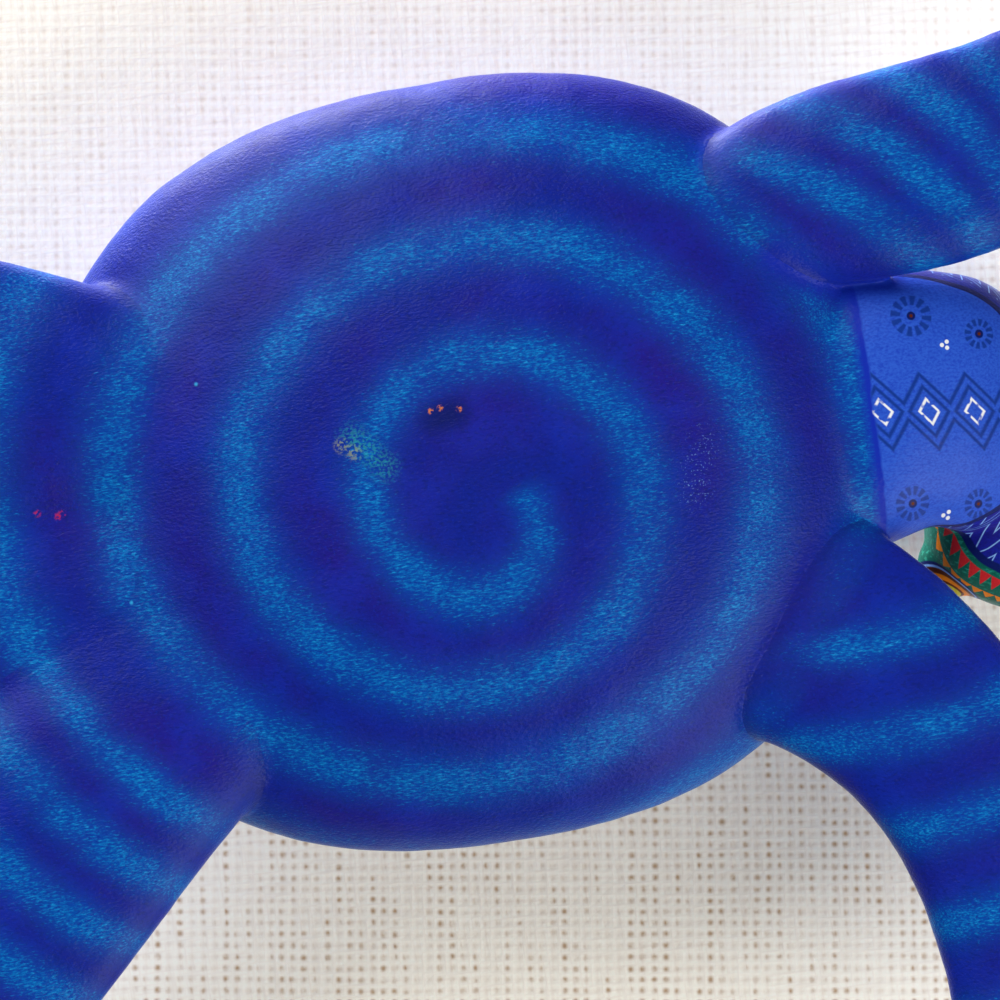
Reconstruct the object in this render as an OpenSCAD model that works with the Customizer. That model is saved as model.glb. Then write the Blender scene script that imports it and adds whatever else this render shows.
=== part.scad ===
// Carved and painted wooden sea turtle, standing belly down with its head along +X.
// The neck and head, the tail and the four flippers are carved apart from the trunk, coped to it,
// pegged with dowels and glued, and a collar of filler is worked into every joint.
// The origin is the centre of the flat under the belly. Millimetres, +Z up, +Y is the turtle's left.

/* [Trunk] */
// Length of the trunk in front of the origin
trunk_front = 74; // [68:1:80]
// Length of the trunk behind the origin
trunk_rear = 80; // [72:1:84]
// Half of the trunk's width
trunk_half_width = 70.5; // [65:0.5:76]
// Height of the trunk's widest line above the table
rim_z = 24; // [20:1:28]
// Height of the top of the shell above the table
shell_top_z = 57; // [50:1:66]
// Squareness of the trunk seen from above, 2 being an ellipse
plan_power = 2.4; // [2.2:0.1:3]
// Fullness of the trunk seen from the side, 2 being an ellipse
side_power = 2.1; // [2:0.1:2.6]
// Sideways lean of the trunk's outline for every millimetre forward, to the turtle's right
trunk_lean = 0.03; // [0:0.01:0.06]
// Depth sanded off the belly and the flipper soles so that they stand flat
sole_cut = 0.5; // [0.3:0.1:0.8]

/* [Neck and head] */
// Turn of the head to the turtle's left
head_turn = 28; // [15:1:35]
// Half of the head's width at the cheeks
head_half_width = 23.5; // [21:0.5:25]
// Radius of each carved eye
eye_r = 6.5; // [5.5:0.5:7.5]

/* [Joints] */
// Diameter of the dowels in the flippers and the tail
dowel_d = 6; // [5:0.5:7]
// Diameter of the dowel in the neck
neck_dowel_d = 8; // [7:0.5:9]
// Radial gap around a dowel, taken up by glue
glue_gap = 0.05; // [0.03:0.01:0.1]
// Width of the filler collar around each joint
filler_w = 3; // [2:0.5:4]

/* [Hidden] */
around = 28;
trunk_around = 56;
trunk_rows = 20;
flipper_rows = 18;
neck_rows = 12;
head_rows = 20;
tail_rows = 14;
section_power = 2.4;
cap_rings = 3;
halvings = 18;

// Plan outline of each flipper: its left and right edges, looking from root to tip, as Bezier curves
// that end at the same tip, then the heights of underside and upper side at the root and at the tip.
front_right = [
    [[44, -34], [62, -20], [94, -13.5], [118, -30], [164, -40], [168, -84], [154, -96]],
    [[36, -40], [52, -62], [82, -66], [104, -54], [128, -58], [140, -104], [154, -96]],
    [10, 29], [-sole_cut, 9]];
front_left = [
    [[24, 52], [58, 54], [81, 80], [74, 109], [66, 138], [74, 146], [88, 144]],
    [[48, 10], [82, 20], [98, 51], [116, 82], [114, 130], [104, 142], [88, 144]],
    [10, 29], [-sole_cut, 9]];
hind_right = [
    [[-40, -30], [-64, -41], [-88, -52], [-112, -60], [-138, -64], [-138, -46]],
    [[-48, -4], [-72, -1], [-100, 12], [-114, -2], [-140, -20], [-138, -46]],
    [7, 27], [-sole_cut, 8]];
hind_left = [
    [[-54, 14], [-76, 19], [-100, 25], [-116, 54], [-136, 88], [-124, 106]],
    [[-32, 42], [-54, 60], [-76, 84], [-92, 100], [-108, 122], [-124, 106]],
    [7, 27], [-sole_cut, 8]];

// Stations of the neck, the head and the tail: x, y, heading, half width, underside, upper side
neck_stations = [
    [50, 0, 4, 27, 14, 44],
    [74, 0, 6, 26, 11, 42],
    [86, 0, 10, 23.8, 13, 42],
    [94, 2.8, 16, 22.8, 16, 45],
    [104, 9.5, 24, 17, 23, 50],
    [112, 14, 28, 9, 31, 50]];
tail_stations = [
    [-52, 11, 178, 14, 9, 29],
    [-72, 12.5, 177, 15.5, 7.5, 26],
    [-88, 14.5, 174, 16, 6, 21],
    [-102, 16, 170, 13.5, 4.5, 16],
    [-114, 18.5, 166, 6.5, 4, 12],
    [-122, 20.5, 164, 2, 5, 9]];
// Stations of the head along its own axis: distance, half width, underside, upper side
head_start = [91.5, 12];
head_profile = [
    [-3, 0.4, 38, 50],
    [0, 0.72, 33, 55],
    [5, 0.94, 30, 58],
    [12, 1, 28.5, 60],
    [22, 0.97, 28.5, 60],
    [31, 0.84, 30, 57],
    [39, 0.62, 32, 52],
    [44.5, 0.4, 34, 48],
    [47.5, 0.16, 37, 45]];
head_stations = [for (row = head_profile) [
    head_start.x + row[0] * cos(head_turn),
    head_start.y + row[0] * sin(head_turn),
    head_turn, row[1] * head_half_width, row[2], row[3]]];
eye_along = 6;
eye_bulge = 2;
eye_z = 46;

// Dowels: middle point, heading, tilt above the table, length, diameter
neck_peg = [[74, 0, 27], 8, 0, 40, neck_dowel_d];
front_right_peg = [[62, -42, 17], -20, -4, 34, dowel_d];
front_left_peg = [[60, 41, 17], 47, -4, 34, dowel_d];
hind_right_peg = [[-68, -23, 15], 190, -6, 30, dowel_d];
hind_left_peg = [[-60, 43, 15], 137, -6, 30, dowel_d];
tail_peg = [[-73, 11, 16], 177, -6, 26, dowel_d];

// A number raised to a power with its sign kept
function signed_power(x, p) = sign(x) * pow(abs(x), p);

// A point of the unit superellipse
function rounded(angle, power) =
    [signed_power(cos(angle), 2 / power), signed_power(sin(angle), 2 / power)];

// A Bezier curve of any degree
function bezier(points, t) =
    len(points) == 1 ? points[0] :
    bezier([for (i = [0 : len(points) - 2]) points[i] * (1 - t) + points[i + 1] * t], t);

// Everything under the table is sanded off
function sanded(p) = [p.x, p.y, max(p.z, 0)];

// Trunk surface, and a number under 1 inside the trunk grown by grow
function trunk_below(grow) = rim_z + sole_cut + grow;
function trunk_above(grow) = shell_top_z - rim_z + grow;
function trunk_length(x) = x < 0 ? trunk_rear : trunk_front;
function trunk_point(plan_angle, side_angle) =
    let (plan = rounded(plan_angle, plan_power),
        side = rounded(side_angle, side_power),
        x = trunk_length(plan.x) * side.x * plan.x,
        z = rim_z + side.y * (side.y < 0 ? trunk_below(0) : trunk_above(0)))
    sanded([x, trunk_half_width * side.x * plan.y - trunk_lean * x, z]);
function trunk_measure(p, grow) =
    let (x = abs(p.x) / (trunk_length(p.x) + grow),
        y = abs(p.y + trunk_lean * p.x) / (trunk_half_width + grow),
        z = abs(p.z - rim_z) / (p.z < rim_z ? trunk_below(grow) : trunk_above(grow)))
    pow(pow(x, plan_power) + pow(y, plan_power), side_power / plan_power) + pow(z, side_power);

// A smooth row at place u, from 0 to 1, through the given rows
function between(a, b, c, d, t) =
    0.5 * (2 * b + (c - a) * t + (2 * a - 5 * b + 4 * c - d) * t * t + (3 * b - a - 3 * c + d) * t * t * t);
function row_at(rows, u) =
    let (last = len(rows) - 1, k = min(floor(u * last), last - 1), t = u * last - k)
    between(rows[max(k - 1, 0)], rows[k], rows[k + 1], rows[min(k + 2, last)], t);

// A limb's section at u from its root, 0, to its tip, 1: middle, half width as a vector, half height.
// A limb is either two plan edges with heights, or a list of stations.
function is_flipper(limb) = len(limb) == 4;
function flipper_section(limb, u) =
    let (left = bezier(limb[0], u),
        right = bezier(limb[1], u),
        low = limb[2][0] + (limb[3][0] - limb[2][0]) * sin(90 * u),
        high = limb[2][1] + (limb[3][1] - limb[2][1]) * sin(90 * u),
        middle = (left + right) / 2)
    [[middle.x, middle.y, (low + high) / 2], (left - right) / 2, (high - low) / 2 * sqrt(1 - pow(u, 12))];
function station_section(limb, u) =
    let (row = row_at(limb, u))
    [[row[0], row[1], (row[4] + row[5]) / 2], [-sin(row[2]), cos(row[2])] * row[3], (row[5] - row[4]) / 2];
function section(limb, u) = is_flipper(limb) ? flipper_section(limb, u) : station_section(limb, u);

// A point of a limb's skin, at a part of the section's size and grown by grow
function limb_point(limb, u, angle, part, grow) =
    let (cut = section(limb, u),
        q = rounded(angle, section_power) * part,
        across = norm(cut[1]),
        wide = cut[1] * (1 + grow / max(across, 1)))
    sanded([cut[0].x + wide.x * q.x, cut[0].y + wide.y * q.x, cut[0].z + (cut[2] + grow) * q.y]);

// Where a limb's skin leaves the trunk, found by halving
function leaves_at(limb, angle, part, grow, trunk_grow, low = 0, high = 0.9, left = halvings) =
    left == 0 ? (low + high) / 2 :
    let (mid = (low + high) / 2, outside = trunk_measure(limb_point(limb, mid, angle, part, grow), trunk_grow) > 1)
    leaves_at(limb, angle, part, grow, trunk_grow, outside ? low : mid, outside ? mid : high, left - 1);

// Ring of points where a limb, at a part of its size and grown by grow, meets the grown trunk
function joint_ring(limb, part = 1, grow = 0, trunk_grow = 0) = [
    for (i = [0 : around - 1])
        let (angle = 360 * i / around)
        limb_point(limb, leaves_at(limb, angle, part, grow, trunk_grow), angle, part, grow)];

// Ring at share k of the way from the joint to the tip
function limb_ring(limb, k) = [
    for (i = [0 : around - 1])
        let (angle = 360 * i / around, start = leaves_at(limb, angle, 1, 0, 0))
        limb_point(limb, start + (1 - start) * k, angle, 1, 0)];

function ring_centre(ring) = [for (axis = [0 : 2]) [for (p = ring) p[axis]] * [for (p = ring) 1] / len(ring)];

// Closed skin over rings of equal length, fanned to a point at each end
module skin(rings, first, last) {
    n = len(rings[0]);
    rows = len(rings);
    points = concat([first], [for (ring = rings) each ring], [last]);
    polyhedron(points, concat(
        [for (i = [0 : n - 1]) [0, 1 + i, 1 + (i + 1) % n]],
        [for (r = [0 : rows - 2], i = [0 : n - 1])
            let (a = 1 + r * n + i, b = 1 + r * n + (i + 1) % n) each [[a, a + n, b], [b, a + n, b + n]]],
        [for (i = [0 : n - 1]) let (base = 1 + (rows - 1) * n) [base + i, len(points) - 1, base + (i + 1) % n]]));
}

// A limb from the trunk to its tip, over the given rings and middle point of its root
module limb_skin(limb, rows, roots, middle) {
    rings = concat(roots, [for (row = [0 : rows - 1]) limb_ring(limb, row / rows)]);
    skin(rings, middle, ring_centre(limb_ring(limb, 1)));
}

// A limb coped to the trunk, with a root face that follows the trunk's surface
module coped(limb, rows) {
    roots = [for (k = [1 : cap_rings]) joint_ring(limb, k / (cap_rings + 1))];
    limb_skin(limb, rows, roots, limb_point(limb, leaves_at(limb, 0, 0, 0, 0), 0, 0, 0));
}

// A limb that runs on into the trunk, to trim its neighbours with
module uncoped(limb, rows) {
    root = [for (i = [0 : around - 1]) limb_point(limb, 0, 360 * i / around, 1, 0)];
    limb_skin(limb, rows, [root], ring_centre(root));
}

// Filler in the valley between a limb and the trunk: a ring of three-cornered sections
module collar(limb) {
    corners = [joint_ring(limb, 1, filler_w), joint_ring(limb), joint_ring(limb, 1, 0, filler_w)];
    n = around;
    polyhedron([for (ring = corners) each ring], [
        for (c = [0 : 2], i = [0 : n - 1])
            let (a = c * n + i, b = c * n + (i + 1) % n, d = ((c + 1) % 3) * n)
            each [[a, b, d + i], [b, d + (i + 1) % n, d + i]]]);
}

module peg(dowel, gap = 0) {
    translate(dowel[0])
        rotate([0, 90 - dowel[2], dowel[1]])
            translate([0, 0, -dowel[3] / 2 - gap])
                cylinder(h = dowel[3] + 2 * gap, d = dowel[4] + 2 * gap, $fn = 48);
}

module trunk() {
    rings = [for (row = [1 : trunk_rows - 1]) [for (i = [0 : trunk_around - 1])
        trunk_point(360 * i / trunk_around, -90 + 180 * row / trunk_rows)]];
    color("mediumblue")
        difference() {
            skin(rings, [0, 0, 0], [0, 0, shell_top_z]);
            for (dowel = [neck_peg, tail_peg, front_right_peg, front_left_peg, hind_right_peg, hind_left_peg])
                peg(dowel, glue_gap);
        }
}

module head() {
    rings = [for (row = [0 : head_rows]) [for (i = [0 : around - 1])
        limb_point(head_stations, row / head_rows, 360 * i / around, 1, 0)]];
    skin(rings, ring_centre(rings[0]), ring_centre(rings[head_rows]));
    for (side = [-1, 1])
        translate([head_start.x, head_start.y, eye_z])
            rotate(head_turn)
                translate([eye_along, side * (head_half_width - eye_r + eye_bulge), 0])
                    sphere(eye_r, $fn = 24);
}

// The first child less the others, worked out as one mesh: resize() to no size changes no size
module trimmed() {
    resize([0, 0, 0])
        difference() {
            children(0);
            children([1 : $children - 1]);
        }
}

module neck_and_head() {
    color("royalblue")
        difference() {
            trimmed() {
                union() {
                    coped(neck_stations, neck_rows);
                    head();
                }
                uncoped(front_right, flipper_rows);
                uncoped(front_left, flipper_rows);
            }
            peg(neck_peg, glue_gap);
        }
}

module flipper(shape, dowel) {
    color("mediumblue")
        difference() {
            coped(shape, flipper_rows);
            peg(dowel, glue_gap);
        }
}

module tail() {
    color("mediumblue")
        difference() {
            trimmed() {
                coped(tail_stations, tail_rows);
                uncoped(hind_right, flipper_rows);
                uncoped(hind_left, flipper_rows);
            }
            peg(tail_peg, glue_gap);
        }
}

// Filler around the neck or the tail, trimmed to the two flippers beside it
module middle_filler(limb, right_flipper, left_flipper) {
    color("blue")
        trimmed() {
            collar(limb);
            uncoped(right_flipper, flipper_rows);
            uncoped(left_flipper, flipper_rows);
        }
}

// Filler around a flipper, trimmed to the neck or tail beside it
module flipper_filler(shape, neighbour, rows) {
    color("blue")
        trimmed() {
            collar(shape);
            uncoped(neighbour, rows);
        }
}

module dowel(shape) {
    color("burlywood")
        peg(shape);
}

trunk();
neck_and_head();
tail();
flipper(front_right, front_right_peg);  // front_right_flipper
flipper(front_left, front_left_peg);  // front_left_flipper
flipper(hind_right, hind_right_peg);  // hind_right_flipper
flipper(hind_left, hind_left_peg);  // hind_left_flipper
middle_filler(neck_stations, front_right, front_left);  // neck_filler
middle_filler(tail_stations, hind_right, hind_left);  // tail_filler
flipper_filler(front_right, neck_stations, neck_rows);  // front_right_filler
flipper_filler(front_left, neck_stations, neck_rows);  // front_left_filler
flipper_filler(hind_right, tail_stations, tail_rows);  // hind_right_filler
flipper_filler(hind_left, tail_stations, tail_rows);  // hind_left_filler
dowel(neck_peg);  // neck_dowel
dowel(tail_peg);  // tail_dowel
dowel(front_right_peg);  // front_right_dowel
dowel(front_left_peg);  // front_left_dowel
dowel(hind_right_peg);  // hind_right_dowel
dowel(hind_left_peg);  // hind_left_dowel
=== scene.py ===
"""Looks of the carved and painted wooden turtle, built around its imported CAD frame.

The figure stands belly down on z = 0 with its head along +X. All shapes are in millimetres in the row
frame and are scaled to metres when a mesh is made. The wood is built as one smooth body, so that its
joints flow together as they do under filler and paint, and is then cut into the separate pieces.
"""

import math

import bmesh
import bpy
import numpy as np
from mathutils import Matrix, Vector, noise
from mathutils.kdtree import KDTree


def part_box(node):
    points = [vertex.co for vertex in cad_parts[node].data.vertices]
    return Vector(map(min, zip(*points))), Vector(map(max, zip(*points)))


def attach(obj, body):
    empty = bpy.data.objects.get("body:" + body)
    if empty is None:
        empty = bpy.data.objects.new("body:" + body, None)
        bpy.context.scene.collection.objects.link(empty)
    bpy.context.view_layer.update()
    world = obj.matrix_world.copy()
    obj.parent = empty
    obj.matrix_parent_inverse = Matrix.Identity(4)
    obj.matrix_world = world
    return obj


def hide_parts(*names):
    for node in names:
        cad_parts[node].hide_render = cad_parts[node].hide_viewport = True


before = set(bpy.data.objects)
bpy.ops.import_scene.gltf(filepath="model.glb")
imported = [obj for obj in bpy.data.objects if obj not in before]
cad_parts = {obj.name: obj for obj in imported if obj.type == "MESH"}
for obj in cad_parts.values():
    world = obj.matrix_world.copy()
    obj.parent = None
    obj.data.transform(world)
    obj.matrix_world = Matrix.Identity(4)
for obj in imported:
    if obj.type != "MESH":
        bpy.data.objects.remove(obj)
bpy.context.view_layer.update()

MM = 0.001

# ---------------------------------------------------------------------------------------------------
# Driving dimensions
# ---------------------------------------------------------------------------------------------------

trunk_low, trunk_high = (np.array(corner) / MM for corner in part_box("trunk"))
TRUNK_FRONT = trunk_high[0]
TRUNK_REAR = -trunk_low[0]
TRUNK_HALF_WIDTH = (trunk_high[1] - trunk_low[1]) / 2 - 0.1
SHELL_TOP_Z = trunk_high[2]
RIM_Z = 24
TRUNK_LEAN = 0.03
PLAN_POWER = 2.4
SIDE_POWER = 2.1
SOLE_CUT = 0.5
SECTION_POWER = 2.4

HEAD_TURN = math.radians(28)
HEAD_START = (91.5, 12.0)
HEAD_HALF_WIDTH = 23.5
EYE_R = 6.5
EYE_ALONG = 6.0
EYE_BULGE = 2.0
EYE_ACROSS = HEAD_HALF_WIDTH - EYE_R + EYE_BULGE
EYE_Z = 46.0

FINE_VOXEL = 0.8
VOXEL = FINE_VOXEL
JOINT_BLEND = 9
KNIFE_DEPTH = 0.16
SEAM_LIFT = 0.7
FILLER_W = 3.5

# Plan edges of each flipper as Bezier curves from root to tip, then low and high at the root and the tip
FLIPPERS = {
    "front_right": (
        [(44, -34), (62, -20), (94, -13.5), (118, -30), (164, -40), (168, -84), (154, -96)],
        [(36, -40), (52, -62), (82, -66), (104, -54), (128, -58), (140, -104), (154, -96)],
        (10, 29, -SOLE_CUT, 9),
    ),
    "front_left": (
        [(24, 52), (58, 54), (81, 80), (74, 109), (66, 138), (74, 146), (88, 144)],
        [(48, 10), (82, 20), (98, 51), (116, 82), (114, 130), (104, 142), (88, 144)],
        (10, 29, -SOLE_CUT, 9),
    ),
    "hind_right": (
        [(-40, -30), (-64, -41), (-88, -52), (-112, -60), (-138, -64), (-138, -46)],
        [(-48, -4), (-72, -1), (-100, 12), (-114, -2), (-140, -20), (-138, -46)],
        (7, 27, -SOLE_CUT, 8),
    ),
    "hind_left": (
        [(-54, 14), (-76, 19), (-100, 25), (-116, 54), (-136, 88), (-124, 106)],
        [(-32, 42), (-54, 60), (-76, 84), (-92, 100), (-108, 122), (-124, 106)],
        (7, 27, -SOLE_CUT, 8),
    ),
}

# Stations: x, y, heading in degrees, half width, underside, upper side
NECK = [
    (50, 0, 4, 27, 14, 44),
    (74, 0, 6, 26, 11, 42),
    (86, 0, 10, 23.8, 13, 42),
    (94, 2.8, 16, 22.8, 16, 45),
    (104, 9.5, 24, 17, 23, 50),
    (112, 14, 28, 9, 31, 50),
]
TAIL = [
    (-52, 11, 178, 14, 9, 29),
    (-72, 12.5, 177, 15.5, 7.5, 26),
    (-88, 14.5, 174, 16, 6, 21),
    (-102, 16, 170, 13.5, 4.5, 16),
    (-114, 18.5, 166, 6.5, 4, 12),
    (-122, 20.5, 164, 2, 5, 9),
]
# The head along its own axis: distance, share of the half width, underside, upper side
HEAD_PROFILE = [
    (-3, 0.40, 38, 50),
    (0, 0.72, 33, 55),
    (5, 0.94, 30, 58),
    (12, 1.00, 28.5, 60),
    (22, 0.97, 28.5, 60),
    (31, 0.84, 30, 57),
    (39, 0.62, 32, 52),
    (44.5, 0.40, 34, 48),
    (47.5, 0.16, 37, 45),
]

# ---------------------------------------------------------------------------------------------------
# Shapes as arrays of points
# ---------------------------------------------------------------------------------------------------


def rounded(angles, power):
    """Points of the unit superellipse."""
    c = np.cos(angles)
    s = np.sin(angles)
    return np.sign(c) * np.abs(c) ** (2 / power), np.sign(s) * np.abs(s) ** (2 / power)


def bezier(points, t):
    """Points at the values t of a Bezier curve of any degree."""
    rows = [np.outer(np.ones_like(t), p) for p in points]
    while len(rows) > 1:
        rows = [a * (1 - t[:, None]) + b * t[:, None] for a, b in zip(rows, rows[1:])]
    return rows[0]


def smooth_rows(rows, count):
    """Catmull-Rom rows through the given rows."""
    table = np.array(rows, float)
    last = len(table) - 1
    place = np.linspace(0, last, count)
    k = np.minimum(place.astype(int), last - 1)
    t = (place - k)[:, None]
    a = table[np.maximum(k - 1, 0)]
    b = table[k]
    c = table[k + 1]
    d = table[np.minimum(k + 2, last)]
    cubic = (3 * b - a - 3 * c + d) * t**3
    return 0.5 * (2 * b + (c - a) * t + (2 * a - 5 * b + 4 * c - d) * t**2 + cubic)


def trunk_rings(grow=0.0, around=192, rows=96):
    plan = np.linspace(0, 2 * np.pi, around, endpoint=False)
    px, py = rounded(plan, PLAN_POWER)
    reach_x = np.where(px > 0, TRUNK_FRONT, TRUNK_REAR) + grow
    rings = []
    for side in np.linspace(-np.pi / 2, np.pi / 2, rows + 1)[1:-1]:
        out, up = rounded(side, SIDE_POWER)
        reach_z = (RIM_Z + SOLE_CUT if up < 0 else SHELL_TOP_Z - RIM_Z) + grow
        x = reach_x * px * out
        y = (TRUNK_HALF_WIDTH + grow) * py * out - TRUNK_LEAN * x
        rings.append(np.stack([x, y, np.full(around, RIM_Z + up * reach_z)], 1))
    return rings


def section_rings(middles, halves, half_heights, grow, around=96):
    """Rings of a limb from its middles, half widths as plan vectors and half heights."""
    q, r = rounded(np.linspace(0, 2 * np.pi, around, endpoint=False), SECTION_POWER)
    rings = []
    for middle, half, height in zip(middles, halves, half_heights):
        wide = half * (1 + grow / max(np.hypot(*half), 1))
        z = middle[2] + (height + grow) * r
        rings.append(np.stack([middle[0] + wide[0] * q, middle[1] + wide[1] * q, z], 1))
    return rings


def flipper_rings(shape, grow=0.0, rows=110):
    left_edge, right_edge, (root_low, root_high, tip_low, tip_high) = shape
    u = 1 - (1 - np.linspace(0, 1, rows)) ** 1.3
    left = bezier(left_edge, u)
    right = bezier(right_edge, u)
    ease = np.sin(u * np.pi / 2)
    low = root_low + (tip_low - root_low) * ease
    high = root_high + (tip_high - root_high) * ease
    middles = np.column_stack([(left + right) / 2, (low + high) / 2])
    return section_rings(middles, (left - right) / 2, (high - low) / 2 * np.sqrt(1 - u**12), grow)


def station_rings(stations, grow=0.0, rows=80):
    table = smooth_rows(stations, rows)
    heading = np.radians(table[:, 2])
    middles = np.column_stack([table[:, 0], table[:, 1], (table[:, 4] + table[:, 5]) / 2])
    halves = np.column_stack([-np.sin(heading), np.cos(heading)]) * table[:, 3:4]
    return section_rings(middles, halves, (table[:, 5] - table[:, 4]) / 2, grow)


def head_rings(grow=0.0):
    stations = [
        (
            HEAD_START[0] + along * math.cos(HEAD_TURN),
            HEAD_START[1] + along * math.sin(HEAD_TURN),
            math.degrees(HEAD_TURN),
            share * HEAD_HALF_WIDTH,
            low,
            high,
        )
        for along, share, low, high in HEAD_PROFILE
    ]
    return station_rings(stations, grow)


def head_axes(points):
    """Distance along the head's axis and distance to its left, for points in the row frame."""
    x = points[:, 0] - HEAD_START[0]
    y = points[:, 1] - HEAD_START[1]
    along = x * math.cos(HEAD_TURN) + y * math.sin(HEAD_TURN)
    across = y * math.cos(HEAD_TURN) - x * math.sin(HEAD_TURN)
    return along, across


def eye_centre(side):
    across = side * EYE_ACROSS
    x = HEAD_START[0] + EYE_ALONG * math.cos(HEAD_TURN) - across * math.sin(HEAD_TURN)
    y = HEAD_START[1] + EYE_ALONG * math.sin(HEAD_TURN) + across * math.cos(HEAD_TURN)
    return np.array([x, y, EYE_Z])


# ---------------------------------------------------------------------------------------------------
# Meshes
# ---------------------------------------------------------------------------------------------------


def new_object(name, points, faces):
    mesh = bpy.data.meshes.new(name)
    mesh.from_pydata((np.asarray(points) * MM).tolist(), [], faces)
    mesh.update()
    made = bpy.data.objects.new(name, mesh)
    bpy.context.scene.collection.objects.link(made)
    return made


def loft(name, rings):
    """A closed skin over rings of equal length, flattened onto the table and fanned shut at both ends."""
    n = len(rings[0])
    points = np.vstack([rings[0].mean(0)] + rings + [rings[-1].mean(0)])
    points[:, 2] = np.maximum(points[:, 2], 0)
    last = len(points) - 1
    end = 1 + (len(rings) - 1) * n
    faces = [(0, 1 + (i + 1) % n, 1 + i) for i in range(n)]
    for row in range(len(rings) - 1):
        base = 1 + row * n
        for i in range(n):
            j = (i + 1) % n
            faces.append((base + i, base + j, base + n + j, base + n + i))
    faces += [(last, end + i, end + (i + 1) % n) for i in range(n)]
    made = new_object(name, points, faces)
    tidy = bmesh.new()
    tidy.from_mesh(made.data)
    bmesh.ops.recalc_face_normals(tidy, faces=tidy.faces)
    tidy.to_mesh(made.data)
    tidy.free()
    return made


def ball(name, centre, radius):
    bpy.ops.mesh.primitive_uv_sphere_add(
        segments=48, ring_count=32, radius=radius * MM, location=Vector(centre) * MM
    )
    made = bpy.context.object
    made.name = name
    made.data.transform(made.matrix_world)
    made.matrix_world.identity()
    return made


def apply_modifiers(obj):
    """Replaces the object's mesh by what its modifiers make of it."""
    graph = bpy.context.evaluated_depsgraph_get()
    mesh = bpy.data.meshes.new_from_object(obj.evaluated_get(graph))
    obj.modifiers.clear()
    obj.data = mesh


def joined(name, objects):
    with bpy.context.temp_override(active_object=objects[0], selected_editable_objects=objects):
        bpy.ops.object.join()
    objects[0].name = name
    return objects[0]


def copy_of(obj, name):
    made = obj.copy()
    made.data = obj.data.copy()
    made.name = name
    bpy.context.scene.collection.objects.link(made)
    return made


def cut(obj, tool, operation):
    """Boolean of two closed meshes."""
    step = obj.modifiers.new("cut", "BOOLEAN")
    step.operation = operation
    step.solver = "MANIFOLD"
    step.object = tool
    apply_modifiers(obj)


def coordinates(mesh):
    flat = np.empty(len(mesh.vertices) * 3)
    mesh.vertices.foreach_get("co", flat)
    return flat.reshape(-1, 3) / MM


def set_coordinates(mesh, points):
    mesh.vertices.foreach_set("co", (points * MM).ravel())
    mesh.update()


def smoothed(points, edges, weights, rounds):
    """Moves every point towards the mean of its neighbours, by its own weight, a number of times."""
    count = np.bincount(edges.ravel(), minlength=len(points))[:, None]
    for _ in range(rounds):
        total = np.stack(
            [
                np.bincount(edges[:, 0], points[edges[:, 1], k], len(points))
                + np.bincount(edges[:, 1], points[edges[:, 0], k], len(points))
                for k in range(3)
            ],
            1,
        )
        points = points + weights[:, None] * (total / count - points)
    return points


def trunk_measure(points):
    """Under 1 inside the trunk and over 1 outside it."""
    x = np.abs(points[:, 0]) / np.where(points[:, 0] > 0, TRUNK_FRONT, TRUNK_REAR)
    y = np.abs(points[:, 1] + TRUNK_LEAN * points[:, 0]) / TRUNK_HALF_WIDTH
    below = points[:, 2] < RIM_Z
    z = np.abs(points[:, 2] - RIM_Z) / np.where(below, RIM_Z + SOLE_CUT, SHELL_TOP_Z - RIM_Z)
    return (x**PLAN_POWER + y**PLAN_POWER) ** (SIDE_POWER / PLAN_POWER) + z**SIDE_POWER


def trunk_distance(points):
    """Rough distance outside the trunk's skin, negative inside."""
    step = 0.5
    here = trunk_measure(points)
    slope = np.stack(
        [(trunk_measure(points + step * axis) - here) / step for axis in np.eye(3)], 1
    )
    return (here - 1) / np.maximum(np.linalg.norm(slope, axis=1), 0.02)


def whole_body():
    """All the wood as one closed smooth mesh."""
    solids = [loft("trunk_solid", trunk_rings()), loft("neck_solid", station_rings(NECK))]
    solids.append(loft("head_solid", head_rings()))
    solids.append(loft("tail_solid", station_rings(TAIL)))
    solids += [loft(name + "_solid", flipper_rings(shape)) for name, shape in FLIPPERS.items()]
    solids += [ball("eye_solid", eye_centre(side), EYE_R) for side in (-1, 1)]
    body = joined("body", solids)
    step = body.modifiers.new("remesh", "REMESH")
    step.mode = "VOXEL"
    step.voxel_size = VOXEL * MM
    step.adaptivity = 0
    apply_modifiers(body)
    return body


def work_surface(body):
    """Rounds the joints into each other and leaves the carver's shallow knife marks."""
    mesh = body.data
    points = coordinates(mesh)
    edges = np.empty(len(mesh.edges) * 2, int)
    mesh.edges.foreach_get("vertices", edges)
    edges = edges.reshape(-1, 2)
    outside = trunk_distance(points)
    near = np.exp(-((outside / JOINT_BLEND) ** 2))
    between_hind_limbs = np.exp(-(((points[:, 1] - 10) / 22) ** 4)) * np.clip((-points[:, 0] - 50) / 15, 0, 1)
    between_hind_limbs *= np.exp(-((outside / 30) ** 2))
    underneath = np.exp(-((points[:, 2] / 11) ** 4))
    scale = (FINE_VOXEL / VOXEL) ** 2
    points = smoothed(points, edges, np.full(len(points), 0.4), max(2, round(5 * scale)))
    points = smoothed(points, edges, 0.6 * near * (0.06 + 0.94 * underneath), round(36 * scale))
    points = smoothed(points, edges, 0.6 * between_hind_limbs * underneath, round(400 * scale))
    points[:, 2] = np.maximum(points[:, 2], 0)
    set_coordinates(mesh, points)
    normals = np.empty(len(points) * 3)
    mesh.vertex_normals.foreach_get("vector", normals)
    normals = normals.reshape(-1, 3)
    marks = np.array([noise.noise(Vector(p) / 9) + 0.5 * noise.noise(Vector(p) / 3.5) for p in points])
    free = np.clip(points[:, 2] / 1.5, 0, 1)
    set_coordinates(mesh, points + normals * (KNIFE_DEPTH * marks * free)[:, None])


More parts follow.
